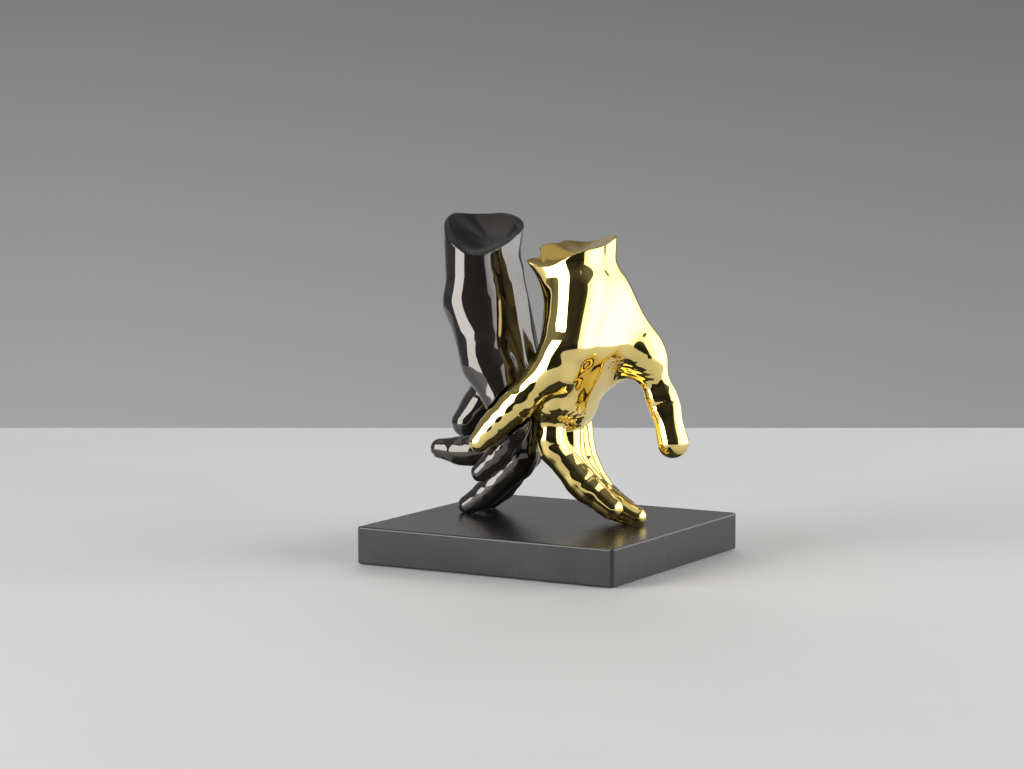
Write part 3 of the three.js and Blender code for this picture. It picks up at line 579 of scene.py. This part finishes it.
def lacquer():
    """Satin black lacquer over fibreboard: cloudy sheen and fine orange peel."""
    mat, tree, shader = nodes_of("plinth_satin_lacquer")
    cloud = noise(tree, Scale=30.0, Detail=5.0)
    colour = ramp(tree, cloud, [(0.3, (0.010, 0.0097, 0.0094)), (0.75, (0.017, 0.0164, 0.016))])
    tree.links.new(colour, shader.inputs["Base Color"])
    dull = ramp(tree, cloud, [(0.3, grey(0.24)), (0.8, grey(0.30))])
    tree.links.new(dull, shader.inputs["Roughness"])
    shader.inputs["Specular IOR Level"].default_value = 0.6
    roughen(tree, shader, noise(tree, Scale=900.0, Detail=2.0), 0.12, 0.0002)
    return mat


def felt():
    """Pressed wool felt: matted fibres, pale flecks, soft sheen."""
    mat, tree, shader = nodes_of("base_felt_wool")
    fibre = noise(tree, Scale=700.0, Detail=6.0, Distortion=1.5)
    colour = ramp(tree, fibre, [(0.3, (0.012, 0.012, 0.013)), (0.8, (0.05, 0.05, 0.052))])
    tree.links.new(colour, shader.inputs["Base Color"])
    shader.inputs["Roughness"].default_value = 0.95
    shader.inputs["Sheen Weight"].default_value = 0.4
    roughen(tree, shader, fibre, 0.6, 0.0005)
    return mat


def zinc_steel():
    """Bright zinc coat with a slight yellow bloom."""
    mat, tree, shader = nodes_of("zinc_coated_steel")
    shader.inputs["Metallic"].default_value = 1.0
    bloom = noise(tree, Scale=260.0, Detail=4.0)
    colour = ramp(tree, bloom, [(0.3, (0.50, 0.50, 0.50)), (0.75, (0.62, 0.60, 0.55))])
    tree.links.new(colour, shader.inputs["Base Color"])
    dull = ramp(tree, bloom, [(0.3, grey(0.28)), (0.8, grey(0.45))])
    tree.links.new(dull, shader.inputs["Roughness"])
    return mat


def dress(node, mat):
    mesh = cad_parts[node].data
    mesh.materials.clear()
    mesh.materials.append(mat)


dress("plinth", lacquer())
dress("base_felt", felt())
steel = zinc_steel()
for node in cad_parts:
    if any(word in node for word in ("_rod", "_nut", "_washer")):
        dress(node, steel)

# Camera where the photograph was taken from
AZIMUTH, ELEVATION, DISTANCE = math.radians(29.65), math.radians(6.07), 1.8916
target = Vector((-0.02733, 0, 0.108))
towards = Vector((
    math.sin(AZIMUTH) * math.cos(ELEVATION), -math.cos(AZIMUTH) * math.cos(ELEVATION), math.sin(ELEVATION),
))
camera = bpy.data.objects.new("camera", bpy.data.cameras.new("camera"))
camera.data.sensor_width = 36
camera.data.lens = 105.2
camera.data.clip_end = 30
camera.location = target + towards * DISTANCE
camera.rotation_euler = (-towards).to_track_quat("-Z", "Y").to_euler()
bpy.context.scene.collection.objects.link(camera)
bpy.context.scene.camera = camera


def round_room(bearing):
    """Level direction at a bearing seen from the object: 0 to the camera, 90 to the picture's right."""
    a = AZIMUTH + math.radians(bearing)
    return Vector((math.sin(a), -math.cos(a), 0))


# Table with its far edge where the photograph shows it
HALF_TABLE = 0.664
right, away = round_room(90), round_room(180)
middle = Vector((target.x, target.y, 0))
corners = [
    tuple(middle + (i * right + j * away) * HALF_TABLE) for i, j in ((-1, -1), (1, -1), (1, 1), (-1, 1))
]
table = bpy.data.meshes.new("table")
table.from_pydata(corners, [], [(0, 1, 2, 3)])
table_obj = bpy.data.objects.new("table", table)
bpy.context.scene.collection.objects.link(table_obj)
mat, tree, shader = nodes_of("table_paper")
pale = ramp(tree, noise(tree, Scale=6.0, Detail=3.0), [(0.3, grey(0.70)), (0.7, grey(0.72))])
tree.links.new(pale, shader.inputs["Base Color"])
shader.inputs["Roughness"].default_value = 0.7
table.materials.append(mat)


def panel(name, bearing, distance, width, low, high, radiance):
    """Soft box standing on the studio floor, facing the object."""
    lamp = bpy.data.lights.new(name, "AREA")
    lamp.shape = "RECTANGLE"
    lamp.size, lamp.size_y = width, high - low
    lamp.energy = radiance * math.pi * width * (high - low)
    obj = bpy.data.objects.new(name, lamp)
    outward = round_room(bearing)
    obj.location = middle + outward * distance + Vector((0, 0, (low + high) / 2))
    obj.rotation_euler = outward.to_track_quat("Z", "Y").to_euler()
    obj.visible_camera = False
    bpy.context.scene.collection.objects.link(obj)
    return obj


# Soft boxes and ceiling that the plating mirrors
soft_right = panel("soft_box_right", 89, 0.95, 2.6, -0.3, 0.85, 1.65)
soft_right.data.spread = math.radians(130)
soft_left = panel("soft_box_left", -59, 1.0, 0.72, -0.3, 0.85, 5.2)
overhead = panel("overhead", 0, 0, 2.2, 0.5, 2.7, 0.45)
overhead.rotation_euler = (0, 0, 0)
for lamp in (soft_right, soft_left, overhead):
    lamp.visible_diffuse = False

# Their light on the table comes from farther off: it falls evenly, and the shadow lies all round the plinth
for lamp in (
    panel("far_box_right", 74, 2.6, 4.0, 0.1, 1.1, 9.2),
    panel("far_box_left", -64, 2.6, 2.0, 0.1, 1.1, 15.8),
    panel("far_box_behind", 180, 2.2, 2.2, 0.9, 2.1, 3.2),
):
    lamp.visible_glossy = False

# Room: grey backdrop behind the table, darker on both sides of it and behind the camera
world = bpy.data.worlds.new("studio")
world.use_nodes = True
bpy.context.scene.world = world
tree = world.node_tree
gaze = tree.nodes.new("ShaderNodeTexCoord").outputs["Generated"]


def remap(source, low, high, to_low=0.0, to_high=1.0):
    node = add(tree, "ShaderNodeMapRange", From_Min=low, From_Max=high, To_Min=to_low, To_Max=to_high)
    tree.links.new(source, node.inputs["Value"])
    return node.outputs["Result"]


def towards_bearing(bearing):
    """1 where the gaze meets a bearing, -1 where it looks the other way."""
    node = tree.nodes.new("ShaderNodeVectorMath")
    node.operation = "DOT_PRODUCT"
    node.inputs[1].default_value = tuple(round_room(bearing))
    tree.links.new(gaze, node.inputs[0])
    return node.outputs["Value"]


split = tree.nodes.new("ShaderNodeSeparateXYZ")
tree.links.new(gaze, split.inputs["Vector"])
tone = ramp(tree, remap(split.outputs["Z"], -0.2, 0.6), [
    (0.0, grey(0.30)), (0.10, grey(0.37)), (0.28, grey(0.205)), (0.33, grey(0.22)), (0.5, grey(0.45)),
    (1.0, grey(0.42)),
])
dark = remap(towards_bearing(-10), 0.35, 0.85, 1.0, 0.16)
dim = remap(towards_bearing(90), -0.14, 0.16, 1.0, 0.84)
beside = remap(towards_bearing(180), 0.70, 0.93, 0.45, 1.0)
for factor in (dark, dim, beside):
    shade = tree.nodes.new("ShaderNodeMixRGB")
    shade.blend_type = "MULTIPLY"
    shade.inputs["Fac"].default_value = 1.0
    tree.links.new(tone, shade.inputs["Color1"])
    tree.links.new(factor, shade.inputs["Color2"])
    tone = shade.outputs["Color"]
tree.links.new(tone, tree.nodes["Background"].inputs["Color"])

bpy.context.scene.view_settings.view_transform = "Standard"
